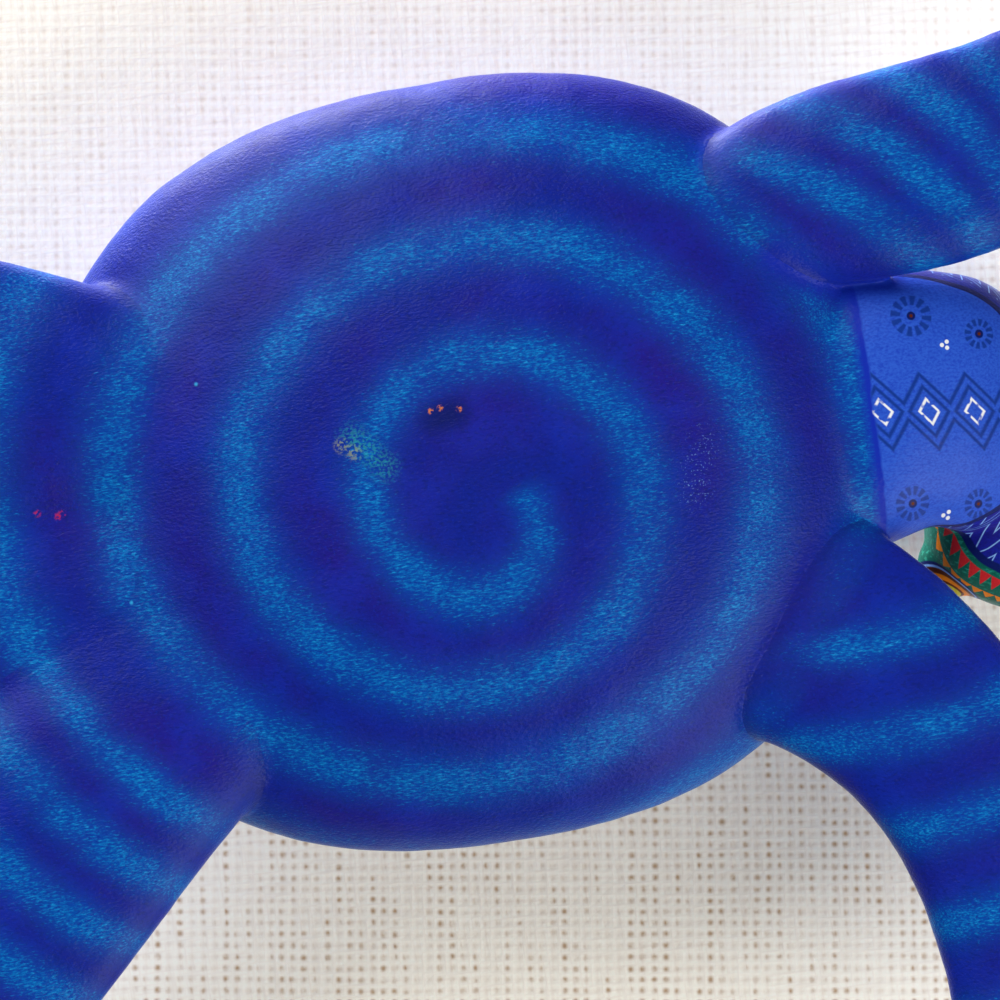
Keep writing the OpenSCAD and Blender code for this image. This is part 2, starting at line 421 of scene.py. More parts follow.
def bore(piece, dowel, gap=0.05):
    """Drills the hole for a dowel, which is shown as the CAD made it."""
    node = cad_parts[dowel]
    points = np.array([node.matrix_world @ vertex.co for vertex in node.data.vertices]) / MM
    middle = points.mean(0)
    length = np.linalg.norm(points - middle, axis=1).max()
    tool = new_object("drill", middle + (points - middle) * (1 + gap / length), [])
    hull = bmesh.new()
    hull.from_mesh(tool.data)
    bmesh.ops.remove_doubles(hull, verts=hull.verts, dist=0.001 * MM)
    bmesh.ops.convex_hull(hull, input=hull.verts)
    hull.to_mesh(tool.data)
    hull.free()
    cut(piece, tool, "DIFFERENCE")
    bpy.data.objects.remove(tool)


def grown_head(grow):
    """The neck, the head and the eyes as one solid, larger by grow all round."""
    whole = loft("tool", station_rings(NECK, grow))
    others = [loft("tool", head_rings(grow))]
    others += [ball("tool", eye_centre(side), EYE_R + grow) for side in (-1, 1)]
    for other in others:
        cut(whole, other, "UNION")
        bpy.data.objects.remove(other)
    return whole


def joint_name(limb):
    """The name that a limb's filler and dowel begin with."""
    return limb.replace("_and_head", "").replace("_flipper", "")


def cut_pieces(body):
    """The pieces of wood and filler as a dictionary by node name.

    The wood is cut first and takes nearly all of the body. Each filler is only what is then left near
    its limb: slivers and crumbs in several places, and not a whole bead.
    """
    shapes = {}
    for name, shape in FLIPPERS.items():
        shapes[name + "_flipper"] = lambda grow, shape=shape: loft("tool", flipper_rings(shape, grow))
    shapes["tail"] = lambda grow: loft("tool", station_rings(TAIL, grow))
    shapes["neck_and_head"] = grown_head
    pieces = {}
    rest = copy_of(body, "rest")
    trunk_tool = loft("tool", trunk_rings(SEAM_LIFT))
    pieces["trunk"] = copy_of(body, "trunk_wood")
    cut(pieces["trunk"], trunk_tool, "INTERSECT")
    cut(rest, trunk_tool, "DIFFERENCE")
    bpy.data.objects.remove(trunk_tool)
    for name, grown in shapes.items():
        piece = copy_of(rest, name + "_wood")
        tool = grown(SEAM_LIFT)
        cut(piece, tool, "INTERSECT")
        cut(rest, tool, "DIFFERENCE")
        bpy.data.objects.remove(tool)
        pieces[name] = piece
    for name, grown in shapes.items():
        filler = joint_name(name) + "_filler"
        piece = copy_of(rest, filler + "_bead")
        tool = grown(FILLER_W * 2)
        cut(piece, tool, "INTERSECT")
        cut(rest, tool, "DIFFERENCE")
        bpy.data.objects.remove(tool)
        pieces[filler] = piece
    bpy.data.objects.remove(rest)
    return pieces


# ---------------------------------------------------------------------------------------------------
# Where the paint goes, as numbers at every vertex
# ---------------------------------------------------------------------------------------------------

# The band on the belly is an oval spiral that widens and drifts a little with every turn
SPIRAL_MIDDLE = (0.6, 8.4)
SPIRAL_DRIFT = (-1.0, -2.0)
SPIRAL_RADII = (7.9, 11.6)
SPIRAL_GROWTH = (22.0, 18.3)
SPIRAL_TURNS = 3.8
BAND_HALF = 4.4

# Bands across each limb: a point on the first, its heading, the step to the next and the turn per band
LIMB_BANDS = {
    "front_right_flipper": ((72, -37), 38, -11.8, 4),
    "front_left_flipper": ((79, 40), -12, 16.8, -3),
    "hind_right_flipper": ((-92, -36), 112, 13.0, 4),
    "hind_left_flipper": ((-68.5, 46.3), 49, 13.5, -1),
    "tail": ((-95, 12), 95, 12.0, 0),
}
# The spiral's last turn runs on over these
UNDER_LAST_TURN = ("hind_right_flipper", "tail")


def bump(distance, half):
    return np.exp(-((distance / half) ** 2))


def spiral_band(points):
    """How strongly the belly's spiral band covers each point, from 0 to 1."""
    best = np.zeros(len(points))
    first = np.arctan2(points[:, 1] - SPIRAL_MIDDLE[1], points[:, 0] - SPIRAL_MIDDLE[0]) / (2 * np.pi)
    for turn in range(-1, 5):
        t = first + turn
        x = points[:, 0] - SPIRAL_MIDDLE[0] - SPIRAL_DRIFT[0] * t
        y = points[:, 1] - SPIRAL_MIDDLE[1] - SPIRAL_DRIFT[1] * t
        reach_x = np.maximum(SPIRAL_RADII[0] + SPIRAL_GROWTH[0] * t, 1)
        reach_y = np.maximum(SPIRAL_RADII[1] + SPIRAL_GROWTH[1] * t, 1)
        off = (np.hypot(x / reach_x, y / reach_y) - 1) * (reach_x + reach_y) / 2
        begun = np.clip(1 + t * 12, 0, 1) * np.clip((SPIRAL_TURNS - t) * 12, 0, 1)
        best = np.maximum(best, begun * bump(off, BAND_HALF + 0.3 * t))
    return best


def limb_bands(points, plan):
    """The same for the bands across a limb."""
    (x, y), heading, step, turn = plan
    best = np.zeros(len(points))
    place = np.array([x, y], float)
    for _ in range(8):
        angle = math.radians(heading)
        across = np.array([-math.sin(angle), math.cos(angle)])
        along = np.array([math.cos(angle), math.sin(angle)])
        offset = points[:, :2] - place
        bow = 0.006 * (offset @ along) ** 2 * np.sign(step)
        best = np.maximum(best, bump(offset @ across + bow, 4.0))
        place = place + across * step
        heading += turn
    return best


def set_attribute(mesh, name, values):
    layer = mesh.attributes.new(name, "FLOAT", "POINT")
    layer.data.foreach_set("value", np.asarray(values, np.float32))


def distances(points, targets):
    tree = KDTree(len(targets))
    for index, target in enumerate(targets):
        tree.insert(target, index)
    tree.balance()
    return np.array([tree.find(p)[2] for p in points])


def chart(points, rings):
    """Distance along a limb's middle line and the place across it, from -1 to 1."""
    middles = np.array([ring.mean(0)[:2] for ring in rings])
    halves = np.array([np.hypot(*(ring.max(0) - ring.min(0))[:2]) / 2 for ring in rings])
    steps = np.hypot(*np.diff(middles, axis=0).T)
    travelled = np.concatenate([[0], np.cumsum(steps)])
    heading = np.gradient(middles, axis=0)
    heading /= np.linalg.norm(heading, axis=1)[:, None]
    tree = KDTree(len(middles))
    for index, middle in enumerate(middles):
        tree.insert((*middle, 0), index)
    tree.balance()
    nearest = np.array([tree.find((x, y, 0))[1] for x, y in points[:, :2]])
    offset = points[:, :2] - middles[nearest]
    forward = (offset * heading[nearest]).sum(1)
    sideways = offset[:, 1] * heading[nearest][:, 0] - offset[:, 0] * heading[nearest][:, 1]
    return travelled[nearest] + forward, sideways / np.maximum(halves[nearest], 3)


def mark(name, piece, front_filler):
    """Gives a piece the numbers that its paint reads."""
    mesh = piece.data
    points = coordinates(mesh)
    normals = np.empty(len(points) * 3)
    mesh.vertex_normals.foreach_get("vector", normals)
    up = normals.reshape(-1, 3)[:, 2]
    band = spiral_band(points)
    along = np.zeros(len(points))
    across = np.zeros(len(points))
    limb = name.replace("_filler", "_flipper") if "_filler" in name else name
    limb = "tail" if name == "tail_filler" else limb
    if limb in LIMB_BANDS:
        outside = np.clip(trunk_distance(points) / 6, 0, 1)
        kept = 1 if limb in UNDER_LAST_TURN else 1 - outside
        band = np.maximum(band * kept, limb_bands(points, LIMB_BANDS[limb]) * outside)
        if limb == "tail":
            rings = station_rings(TAIL)
        else:
            rings = flipper_rings(FLIPPERS[limb.removesuffix("_flipper")])
        along, across = chart(points, rings)
    if name == "neck_and_head":
        along, across = head_axes(points)
    set_attribute(mesh, "band", band)
    set_attribute(mesh, "upper", np.clip(up * 2 + 0.3, 0, 1))
    set_attribute(mesh, "along", along)
    set_attribute(mesh, "across", across)
    set_attribute(mesh, "filled", bump(distances(points, front_filler), 3.2))
    # Darkness along the seam where a limb meets the trunk: a dark joint line, and also painted shade in the
    # crease between the parts
    crease = np.zeros(len(points))
    if limb.endswith("_flipper"):
        crease = bump(trunk_distance(points) - SEAM_LIFT, 0.9) * np.clip((points[:, 2] - 6) / 5, 0, 1)
    set_attribute(mesh, "crease", crease)


# ---------------------------------------------------------------------------------------------------
# Paint
# ---------------------------------------------------------------------------------------------------


class Number:
    """A number worked out by a material's nodes, used like a Python number."""

    def __init__(self, tree, socket):
        self.tree = tree
        self.socket = socket

    def step(self, operation, *others, clamp=False):
        node = self.tree.nodes.new("ShaderNodeMath")
        node.operation = operation
        node.use_clamp = clamp
        for index, value in enumerate((self, *others)):
            if isinstance(value, Number):
                self.tree.links.new(value.socket, node.inputs[index])
            else:
                node.inputs[index].default_value = value
        return Number(self.tree, node.outputs[0])

    def __add__(self, other):
        return self.step("ADD", other)

    def __sub__(self, other):
        return self.step("SUBTRACT", other)

    def __mul__(self, other):
        return self.step("MULTIPLY", other)

    def __truediv__(self, other):
        return self.step("DIVIDE", other)

    def __abs__(self):
        return self.step("ABSOLUTE")

    def inverse(self):
        return (self * -1) + 1

    def clamped(self):
        return self.step("ADD", 0, clamp=True)

    def highest(self, other):
        return self.step("MAXIMUM", other)

    def wave(self, period):
        """A triangle wave of that period, 0 at its start and 1 half way."""
        return self.step("PINGPONG", period / 2) * (2 / period)

    def under(self, edge, soft=0.08):
        """1 where the number is under the edge, 0 where it is over."""
        return ((self * -1 + edge) / soft + 0.5).clamped()

    def over(self, edge, soft=0.08):
        return ((self - edge) / soft + 0.5).clamped()

    def line(self, middle, width, soft=0.08):
        return abs(self - middle).under(width / 2, soft)


class Paint:
    """A painted surface whose colours are laid over each other one by one."""

    def __init__(self, name, colour):
        self.material = bpy.data.materials.new(name)
        self.material.use_nodes = True
        self.tree = self.material.node_tree
        self.shader = self.tree.nodes["Principled BSDF"]
        split = self.tree.nodes.new("ShaderNodeSeparateXYZ")
        self.place = self.tree.nodes.new("ShaderNodeVectorMath")
        self.place.operation = "SCALE"
        self.place.inputs["Scale"].default_value = 1 / MM
        where = self.tree.nodes.new("ShaderNodeTexCoord")
        self.tree.links.new(where.outputs["Object"], self.place.inputs[0])
        self.tree.links.new(self.place.outputs[0], split.inputs[0])
        self.x, self.y, self.z = (Number(self.tree, socket) for socket in split.outputs)
        start = self.tree.nodes.new("ShaderNodeRGB")
        start.outputs[0].default_value = (*colour, 1)
        self.colour = start.outputs[0]

    def attribute(self, name):
        node = self.tree.nodes.new("ShaderNodeAttribute")
        node.attribute_name = name
        return Number(self.tree, node.outputs["Fac"])

    def noise(self, size, detail=2.0, stretch=(1, 1, 1), roughness=0.5):
        """Noise from about 0 to 1 with features of that size in millimetres."""
        node = self.tree.nodes.new("ShaderNodeTexNoise")
        node.inputs["Scale"].default_value = 1
        node.inputs["Detail"].default_value = detail
        node.inputs["Roughness"].default_value = roughness
        scaled = self.tree.nodes.new("ShaderNodeVectorMath")
        scaled.operation = "MULTIPLY"
        scaled.inputs[1].default_value = [1 / (size * s) for s in stretch]
        self.tree.links.new(self.place.outputs[0], scaled.inputs[0])
        self.tree.links.new(scaled.outputs[0], node.inputs["Vector"])
        return Number(self.tree, node.outputs["Fac"])

    def lay(self, colour, cover):
        """Lays a colour over what is there."""
        node = self.tree.nodes.new("ShaderNodeMix")
        node.data_type = "RGBA"
        node.inputs["B"].default_value = (*colour, 1)
        self.tree.links.new(self.colour, node.inputs["A"])
        self.tree.links.new(cover.clamped().socket, node.inputs["Factor"])
        self.colour = node.outputs["Result"]

    def finish(self, roughness, bump_height, bump_depth):
        """Joins colour, roughness and a height in millimetres to the shader."""
        self.tree.links.new(self.colour, self.shader.inputs["Base Color"])
        self.tree.links.new(roughness.socket, self.shader.inputs["Roughness"])
        node = self.tree.nodes.new("ShaderNodeBump")
        node.inputs["Distance"].default_value = bump_depth * MM
        node.inputs["Strength"].default_value = 1
        self.tree.links.new(bump_height.socket, node.inputs["Height"])
        self.tree.links.new(node.outputs[0], self.shader.inputs["Normal"])
        self.shader.inputs["IOR"].default_value = 1.5
        self.shader.inputs["Specular IOR Level"].default_value = 0.09
        return self.material


DEEP_BLUE = (0.005, 0.014, 0.235)
VIOLET_BLUE = (0.015, 0.009, 0.215)
CLEAR_BLUE = (0.006, 0.024, 0.38)
GLAZE_BLUE = (0.001, 0.062, 0.35)
TURQUOISE = (0.003, 0.190, 0.52)
PALE_TURQUOISE = (0.03, 0.36, 0.72)
NIGHT_BLUE = (0.004, 0.010, 0.10)
OUTLINE_BLUE = (0.004, 0.026, 0.20)
THROAT_BLUE = (0.024, 0.095, 0.56)
PALE_BLUE = (0.22, 0.42, 0.80)
WHITE = (0.80, 0.82, 0.84)
GREEN = (0.004, 0.11, 0.075)
PALE_GREEN = (0.03, 0.38, 0.25)
RED = (0.55, 0.02, 0.025)
ORANGE = (0.80, 0.22, 0.01)
YELLOW = (0.45, 0.38, 0.03)
BROWN = (0.10, 0.018, 0.004)
PUPIL_BLACK = (0.004, 0.004, 0.005)

# Where the painted panel under the neck begins along X, and the height at which the head turns green
THROAT_START = 73.4
GREEN_Z = 32.2


def blue_ground(paint):
    """Ultramarine with violet and clear patches."""
    paint.lay(VIOLET_BLUE, paint.noise(26, 3).over(0.55, 0.3))
    paint.lay(CLEAR_BLUE, paint.noise(11, 3).over(0.62, 0.3) * 0.6)
    paint.lay(NIGHT_BLUE, paint.noise(0.6, 3, (1.8, 1, 1)).over(0.60, 0.2) * 0.45)
    paint.lay(CLEAR_BLUE, paint.noise(0.5, 2).over(0.62, 0.15) * 0.4)


def dry_brush(paint, band):
    """Turquoise dragged over the wood's grain with an almost dry brush."""
    grain = paint.noise(0.26, 2.5, (4.2, 1.2, 1), 0.64)
    cloud = paint.noise(7, 3, (1.6, 1, 1))
    strength = (band * (cloud * 1.5 + 0.2)).clamped()
    paint.lay(GLAZE_BLUE, strength * 0.9)
    paint.lay(TURQUOISE, (grain + strength * 0.25).over(0.79, 0.22) * strength.over(0.15, 0.25) * 0.9)
    paint.lay(PALE_TURQUOISE, (grain + strength * 0.2).over(0.90, 0.16) * strength.over(0.4, 0.4) * 0.75)
    paint.lay(DEEP_BLUE, paint.noise(0.35, 2, (2, 1, 1)).over(0.60, 0.1) * strength * 0.6)
    return grain


def flipper_top(paint, upper, along, across):
    """Rows of chevrons and dots on the upper side of the limbs."""
    rib = along + abs(across) * 7
    beat = rib.wave(12)
    inside = abs(across).under(0.86, 0.05) * upper.over(0.6, 0.05) * along.over(38, 1)
    paint.lay(TURQUOISE, beat.over(0.62, 0.06) * inside)
    paint.lay(NIGHT_BLUE, beat.line(0.62, 0.08, 0.04) * inside)
    paint.lay(PALE_TURQUOISE, beat.line(0.80, 0.06, 0.04) * inside)
    paint.lay(ORANGE, beat.under(0.12, 0.04) * abs(across).wave(0.22).over(0.55, 0.1) * inside)
    paint.lay(PALE_BLUE, abs(across).line(0.89, 0.05, 0.03) * upper.over(0.6, 0.05) * along.over(38, 1))


def shell_top(paint):
    """Rings of geometric ornament on the shell."""
    reach_x = paint.x.over(0, 0.01) * (TRUNK_FRONT - TRUNK_REAR) + TRUNK_REAR
    px = abs(paint.x / reach_x)
    py = abs((paint.y + paint.x * TRUNK_LEAN) / TRUNK_HALF_WIDTH)
    m = (px.step("POWER", PLAN_POWER) + py.step("POWER", PLAN_POWER)).step("POWER", 1 / PLAN_POWER)
    turn = paint.y.step("ARCTAN2", paint.x) * (1 / (2 * math.pi)) + 0.5
    top = paint.z.over(RIM_Z + 13, 0.4)
    paint.lay(NIGHT_BLUE, m.under(0.90, 0.01) * top)
    rings = [
        (0.00, 0.20, 8, TURQUOISE, ORANGE),
        (0.24, 0.42, 16, GREEN, PALE_TURQUOISE),
        (0.46, 0.66, 24, CLEAR_BLUE, PALE_GREEN),
        (0.70, 0.86, 36, TURQUOISE, PALE_BLUE),
    ]
    for inner, outer, teeth, ground, stroke in rings:
        height = (m - inner) / (outer - inner)
        here = height.over(0, 0.02) * height.under(1, 0.02) * top
        tooth = turn.wave(1 / teeth)
        paint.lay(ground, (height - tooth).under(0, 0.05) * here)
        paint.lay(stroke, (height - tooth).line(0.0, 0.10, 0.05) * here)
        paint.lay(stroke, (height - tooth).line(0.28, 0.07, 0.05) * here)
        paint.lay(stroke, (height - tooth).line(-0.28, 0.07, 0.05) * here)
        paint.lay(WHITE, (height - tooth).line(-0.55, 0.06, 0.05) * here)
        dots = (turn.wave(1 / (teeth * 3)) * turn.wave(1 / (teeth * 3))) + (
            ((m - outer - 0.02) / 0.014).step("POWER", 2)
        )
        paint.lay(ORANGE, dots.under(0.6, 0.2) * top)
    paint.lay(PALE_BLUE, m.line(0.90, 0.008, 0.004) * top)


def spots(paint, places, colour, radius, panel, soft=0.15):
    """Dots at the given x and y, laid where the panel's number is 1."""
    for x, y in places:
        dx = paint.x - x
        dy = paint.y - y
        paint.lay(colour, (dx * dx + dy * dy).step("SQRT").under(radius, soft) * panel)


def stray_paint_and_hollow_shade(paint):
    """Specks and smears of other colours that the painter left on the underside, and a dark blot of painted
    shade that stands in for a shallow hollow in the belly.
    """
    under = paint.z.under(12, 1)
    ragged = under * paint.noise(0.5, 3).over(0.52, 0.1)
    spots(paint, ((-18.5, -4.3), (-21, -6.5), (-16, -1)), PALE_GREEN, 2.4, ragged * 0.3, 2.5)
    spots(paint, ((-23, -5.5), (-21, -4)), YELLOW, 1.2, ragged * 0.35, 1.2)
    # Painted shade: a soft dark blot where the belly has a shallow hollow that the mesh does not carve
    spots(paint, ((-2.5, -8.5), (-6, -8)), NIGHT_BLUE, 2.6, under * 0.7, 3)
    spots(paint, ((-6.5, -9.5), (-4.8, -9.8), (-1.5, -9.2)), ORANGE, 0.5, ragged * 0.7, 0.4)
    spots(paint, ((-78.9, -1), (-75.4, 0), (-74.6, -0.4)), RED, 0.6, ragged * 0.6, 0.5)
    spots(paint, ((-47.4, -20), (-64.4, 17.1)), PALE_TURQUOISE, 0.3, under * 0.8, 0.3)
    scuffs = paint.noise(0.35, 2).over(0.66, 0.06) * under
    spots(paint, ((39, 7), (41, 2), (38, 11)), PALE_BLUE, 3.0, scuffs * 0.4, 2.5)


def dusty(paint):
    """The pale bloom that matt acrylic shows where light grazes it."""
    paint.shader.inputs["Sheen Weight"].default_value = 0.28
    paint.shader.inputs["Sheen Roughness"].default_value = 0.14
    paint.shader.inputs["Sheen Tint"].default_value = (0.72, 0.78, 1, 1)


def body_paint():
    """Belly, shell and limbs."""
    paint = Paint("painted_wood", DEEP_BLUE)
    band = paint.attribute("band")
    filled = paint.attribute("filled")
    blue_ground(paint)
    grain = dry_brush(paint, band * (filled.inverse() * 0.9 + 0.1))
    paint.lay(CLEAR_BLUE, filled * 0.75)
    flipper_top(paint, paint.attribute("upper"), paint.attribute("along"), paint.attribute("across"))
    shell_top(paint)
    # A dark line along each limb's joint, which is partly painted shade in the crease between limb and trunk
    paint.lay(NIGHT_BLUE, paint.attribute("crease") * 0.4)
    stray_paint_and_hollow_shade(paint)
    dusty(paint)
    relief = paint.noise(0.5, 3, (1.6, 1, 1)) + grain * 0.4
    return paint.finish(paint.noise(6, 2) * 0.14 + 0.24, relief, 0.16)


def flower(paint, panel, x, y, inner, outer, petals):
    dx = paint.x - x
    dy = paint.y - y
    away = (dx * dx + dy * dy).step("SQRT")
    petal = (dy.step("ARCTAN2", dx) * (1 / (2 * math.pi)) + 0.5).wave(1 / petals)
    ring = away.over(inner, 0.2) * away.under(outer, 0.2)
    paint.lay(OUTLINE_BLUE, petal.over(0.4, 0.4) * ring * panel * 0.8)
    paint.lay(NIGHT_BLUE, away.under(0.8, 0.2) * panel)
    paint.lay(BROWN, away.under(0.3, 0.2) * panel)


def throat(paint):
    """The panel under the neck: a chain of diamonds between flowers and dots."""
    edge = paint.y * 0.12 + 21.8
    front = (paint.x + paint.noise(5, 2) * 1.6).over(THROAT_START, 0.5)
    below = (paint.z - edge).under(0, 0.1) * front
    paint.lay(CLEAR_BLUE, paint.x.line(THROAT_START - 1, 3, 2) * paint.z.under(21, 0.1))
    paint.lay(THROAT_BLUE, below)
    paint.lay(CLEAR_BLUE, paint.noise(0.4, 3, (1.5, 1, 1)).over(0.55, 0.3) * 0.6 * below)
    skew = (paint.y - 1.5) * -0.15
    step = 8.45
    u = abs((paint.x + skew - 74).wave(step) * (step / 2))
    v = abs(paint.y - 1.2 - (paint.x - 74) * 0.12)
    diamond = u / 5.4 + v / 6.8
    for size in (1.0, 0.66):
        paint.lay(OUTLINE_BLUE, diamond.line(size, 0.15, 0.08) * below * 0.85)
    paint.lay(WHITE, diamond.line(0.33, 0.10, 0.05) * paint.noise(1.6, 1).over(0.42, 0.1) * below)
    for x, y, inner, outer, petals in (
        (81.8, -15.4, 2.0, 3.8, 12),
        (94.0, -10.6, 1.5, 2.8, 12),
        (77.8, 18.4, 1.6, 3.2, 12),
        (90.6, 20.2, 1.4, 2.8, 12),
        (104, -1, 1.5, 2.8, 12),
    ):
        flower(paint, below, x, y, inner, outer, petals)
    for x, y in ((87.6, -9.9), (84.8, 20.9)):
        spots(paint, ((x, y), (x - 1.0, y + 0.5), (x - 0.1, y + 1.1)), WHITE, 0.38, below)
    paint.lay(NIGHT_BLUE, (paint.z - edge).line(0.2, 1.1, 0.15) * front)


def head_paint():
    """Neck and head."""
    paint = Paint("painted_head", DEEP_BLUE)
    filled = paint.attribute("filled")
    along = paint.attribute("along")
    across = paint.attribute("across")
    blue_ground(paint)
    dry_brush(paint, paint.attribute("band") * paint.x.under(THROAT_START, 2))
    on_head = along.over(-4, 0.3) * paint.z.over(28, 0.3)
    hook = (along + paint.z * 0.8).wave(5.5) * 4 + paint.z
    paint.lay(PALE_BLUE, hook.wave(5.2).line(0.5, 0.12, 0.08) * paint.z.over(22, 0.1))
    throat(paint)
    green = on_head * paint.z.over(GREEN_Z, 0.1)
    paint.lay(GREEN, green)
    paint.lay(PALE_GREEN, (paint.noise(0.8, 2, (4, 1, 1)).over(0.6, 0.12)) * 0.5 * green)
    paint.lay(NIGHT_BLUE, paint.z.line(GREEN_Z, 0.9, 0.15) * on_head)
    for low, high, colour in ((33.4, 35.8, RED), (37.0, 39.0, ORANGE), (53.5, 56.0, RED)):
        tooth = (paint.z - low) / (high - low)
        saw = along.wave(2.4)
        row = tooth.over(0, 0.05) * (tooth - saw).under(0, 0.1)
        paint.lay(colour, row * on_head)
    crown = on_head * paint.z.over(56.6, 0.15)
    paint.lay(TURQUOISE, crown)
    paint.lay(NIGHT_BLUE, (along + abs(across) * 0.8).wave(7).line(0.5, 0.12, 0.06) * crown)
    paint.lay(ORANGE, (along + abs(across) * 0.8).wave(7).under(0.1, 0.05) * crown)
    mouth = (paint.z + along * 0.06).line(38.2, 0.7, 0.15) * along.over(20, 0.5) * on_head
    paint.lay(NIGHT_BLUE, mouth)
    eye(paint, along, across)
    paint.lay(CLEAR_BLUE, filled * paint.z.under(30, 1) * 0.8)
    dusty(paint)
    return paint.finish(paint.noise(6, 2) * 0.14 + 0.28, paint.noise(0.6, 3, (1.6, 1, 1)), 0.09)


def eye(paint, along, across):
    """Rings around a pupil that looks outwards and a little down."""
    forward = along - EYE_ALONG
    outward = abs(across) - EYE_ACROSS - EYE_R * 0.95
    up = paint.z - EYE_Z + EYE_R * 0.3
    away = (forward * forward + outward * outward + up * up).step("SQRT")
    for radius, colour in (
        (7.4, NIGHT_BLUE),
        (6.8, PALE_BLUE),
        (6.4, BROWN),
        (5.4, ORANGE),
        (4.3, BROWN),
        (3.7, YELLOW),
        (2.6, PUPIL_BLACK),
    ):
        paint.lay(colour, away.under(radius, 0.2))
    glint = ((forward - 1) * (forward - 1) + (up - 1.5) * (up - 1.5)).step("SQRT")
    paint.lay(WHITE, glint.under(0.6, 0.12) * away.under(4, 0.2))


def filler_paint():
    """Smooth clear blue over the filler."""
    paint = Paint("painted_filler", CLEAR_BLUE)
    paint.lay(DEEP_BLUE, paint.noise(5, 3).over(0.5, 0.3) * 0.35)
    dry_brush(paint, paint.attribute("band") * paint.attribute("filled").inverse())
    return paint.finish(paint.noise(5, 2) * 0.15 + 0.32, paint.noise(0.6, 3), 0.09)


def raw_wood():
    """Turned hardwood with fine grain along X."""
    paint = Paint("raw_wood", (0.62, 0.42, 0.22))
    paint.lay((0.38, 0.22, 0.10), paint.noise(0.5, 3, (12, 1, 1)).over(0.55, 0.2) * 0.7)
    return paint.finish(paint.noise(2, 2) * 0.2 + 0.55, paint.noise(0.5, 3, (12, 1, 1)), 0.03)


# ---------------------------------------------------------------------------------------------------
# The figure
# ---------------------------------------------------------------------------------------------------

body = whole_body()
work_surface(body)
pieces = cut_pieces(body)
bpy.data.objects.remove(body)
for limb in ("neck_and_head", "tail", *(name + "_flipper" for name in FLIPPERS)):
    dowel = joint_name(limb) + "_dowel"
    bore(pieces[limb], dowel)
    bore(pieces["trunk"], dowel)
materials = {"wood": body_paint(), "head": head_paint(), "filler": filler_paint()}
front_filler = np.vstack(
    [coordinates(pieces[n + "_filler"].data) for n in ("front_right", "front_left")]
)
for name, piece in pieces.items():
    mark(name, piece, front_filler)
    # The tail's and the hind limbs' fillers are painted over like the wood
    kind = "head" if name == "neck_and_head" else "wood"
    kind = "filler" if name in ("neck_filler", "front_right_filler", "front_left_filler") else kind
    piece.data.materials.clear()
    piece.data.materials.append(materials[kind])
    piece.data.shade_smooth()
    piece.data.set_sharp_from_angle(angle=math.radians(40))
    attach(piece, "root")
    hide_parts(name)
dowel_wood = raw_wood()
for name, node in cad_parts.items():
    if name.endswith("_dowel"):
        node.data.materials.clear()
        node.data.materials.append(dowel_wood)

# ---------------------------------------------------------------------------------------------------
# Stage, lights and camera
# ---------------------------------------------------------------------------------------------------

RIGHT = Vector((0.991, 0.134, 0))
DOWN = Vector((-0.134, 0.991, 0))
FRAMED_MIDDLE = Vector((3.5, 7.7, 10))
FRAMED_WIDTH = 180
CAMERA_DISTANCE = 520
LINEN_Z = 61


def sheet(name, z, half, facing_up):
    corners = [(-half, -half, z), (half, -half, z), (half, half, z), (-half, half, z)]
    made = new_object(name, corners, [(0, 1, 2, 3) if facing_up else (3, 2, 1, 0)])
    return made


def one_sided(paint, glossy):
    """Lets everything through but what is seen from the front by the camera, and by reflections if glossy."""
    tree = paint.tree
    seen = tree.nodes.new("ShaderNodeLightPath")
    side = Number(tree, tree.nodes.new("ShaderNodeNewGeometry").outputs["Backfacing"])
    looked_at = Number(tree, seen.outputs["Is Camera Ray"])
    if glossy:
        looked_at = looked_at.highest(Number(tree, seen.outputs["Is Glossy Ray"]))
    clear = tree.nodes.new("ShaderNodeBsdfTransparent")
    mix = tree.nodes.new("ShaderNodeMixShader")
    output = tree.nodes["Material Output"]
    tree.links.new((side.inverse() * looked_at).socket, mix.inputs["Fac"])
    tree.links.new(clear.outputs[0], mix.inputs[1])
    tree.links.new(paint.shader.outputs[0], mix.inputs[2])
    tree.links.new(mix.outputs[0], output.inputs["Surface"])


def linen():
    """Coarse cream linen, a pair of threads every 2.25 mm each way, laid square to the picture."""
    paint = Paint("linen", (0.97, 0.955, 0.87))
    pitch = 2.25
    lean = 0.135
    warp = (paint.x + paint.y * lean + paint.noise(9, 2, (1, 6, 1)) * 1.4).wave(pitch)
    weft = (paint.y - paint.x * lean + paint.noise(7, 2, (6, 1, 1)) * 1.4).wave(pitch)
    thread = paint.noise(0.7, 2, (1, 16, 1)).highest(paint.noise(0.7, 2, (16, 1, 1)))
    paint.lay((0.82, 0.76, 0.70), thread.over(0.58, 0.2) * 0.45)
    paint.lay((0.80, 0.71, 0.62), warp.under(0.1, 0.7).highest(weft.under(0.1, 0.7)) * 0.35)
    open_columns = paint.noise(2.4, 2, (1, 9, 1)).over(0.5, 0.16) * paint.noise(2.0, 2).over(0.42, 0.3)
    # Painted shade: the holes in the weave are drawn darker towards the bottom of the picture
    gap = warp.under(0.45, 0.6) * weft.under(0.45, 0.6) * (paint.y.over(20, 120) * 0.7 + 0.3)
    paint.lay((0.42, 0.27, 0.17), gap * (open_columns * 0.8 + 0.15))
    paint.finish(paint.noise(3, 2) * 0.1 + 0.85, warp.highest(weft) + thread, 0.06)
    # Painted light: the cloth glows faintly in warm light, as if lit through from behind, though it is no
    # lamp
    paint.shader.inputs["Emission Color"].default_value = (1, 0.80, 0.30, 1)
    paint.shader.inputs["Emission Strength"].default_value = 0.05
    one_sided(paint, glossy=True)
    return paint.material


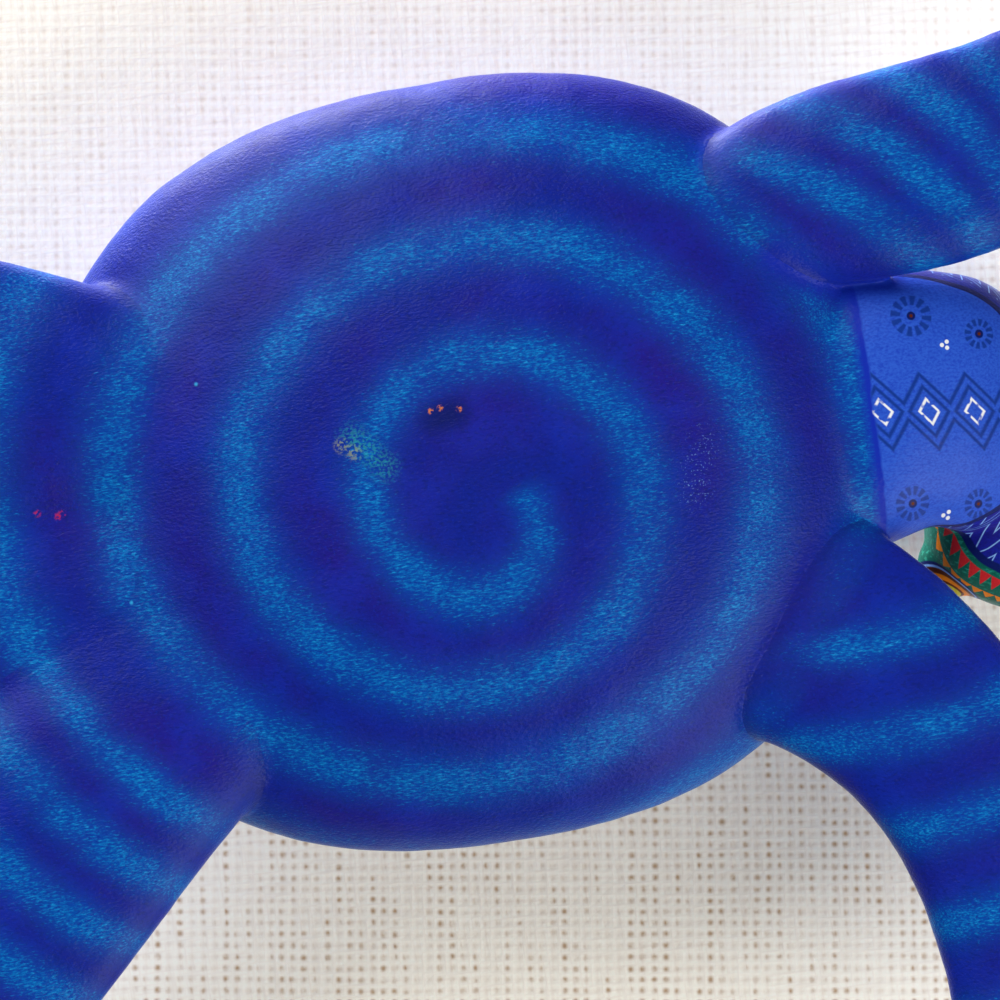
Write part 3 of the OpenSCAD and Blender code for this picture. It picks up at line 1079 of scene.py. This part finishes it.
def table_top():
    paint = Paint("table_top", (0.80, 0.77, 0.73))
    paint.lay((0.72, 0.69, 0.65), paint.noise(1.5, 3) * 0.4)
    paint.finish(paint.noise(10, 2) * 0.1 + 0.7, paint.noise(1, 2), 0.02)
    one_sided(paint, glossy=False)
    return paint.material


def area_light(name, place, size, power, colour=(1, 1, 1)):
    light = bpy.data.lights.new(name, "AREA")
    light.size = size * MM
    light.energy = power
    light.color = colour
    made = bpy.data.objects.new(name, light)
    made.location = Vector(place) * MM
    made.rotation_euler = (-made.location).to_track_quat("-Z", "Y").to_euler()
    made.visible_camera = False
    bpy.context.scene.collection.objects.link(made)
    return made


def from_below(right, down, depth):
    """A place given as seen by the camera: to the right, down the picture, and towards the camera."""
    return FRAMED_MIDDLE + RIGHT * right + DOWN * down - Vector((0, 0, depth))


sheet("linen", LINEN_Z, 900, facing_up=False).data.materials.append(linen())
sheet("table_top", 0, 1500, facing_up=True).data.materials.append(table_top())
area_light("key_below", from_below(-400, -520, 420), 700, 8.5, (1, 0.98, 0.95))
area_light("fill_below", from_below(520, 480, 400), 700, 7.5, (1, 0.98, 0.95))
area_light("window", from_below(-330, -720, -400), 480, 29.0, (0.95, 0.97, 1))
area_light("key_above", (-450, -500, 700), 450, 6.0, (1, 0.98, 0.95))
area_light("fill_above", (500, 350, 600), 700, 3.0, (0.95, 0.97, 1))

world = bpy.data.worlds.new("room")
world.use_nodes = True
backdrop = world.node_tree.nodes["Background"]
backdrop.inputs["Color"].default_value = (0.92, 0.90, 0.87, 1)
ray = Number(world.node_tree, world.node_tree.nodes.new("ShaderNodeLightPath").outputs["Is Camera Ray"])
world.node_tree.links.new((ray * 0.6 + 0.10).socket, backdrop.inputs["Strength"])
bpy.context.scene.world = world
bpy.context.scene.view_settings.view_transform = "Standard"

lens = bpy.data.cameras.new("camera")
lens.sensor_width = 36
lens.lens = 36 * CAMERA_DISTANCE / FRAMED_WIDTH
camera = bpy.data.objects.new("camera", lens)
camera.matrix_world = Matrix.Translation((FRAMED_MIDDLE - Vector((0, 0, CAMERA_DISTANCE))) * MM) @ (
    Matrix((RIGHT, -DOWN, (0, 0, -1))).transposed().to_4x4()
)
bpy.context.scene.collection.objects.link(camera)
bpy.context.scene.camera = camera
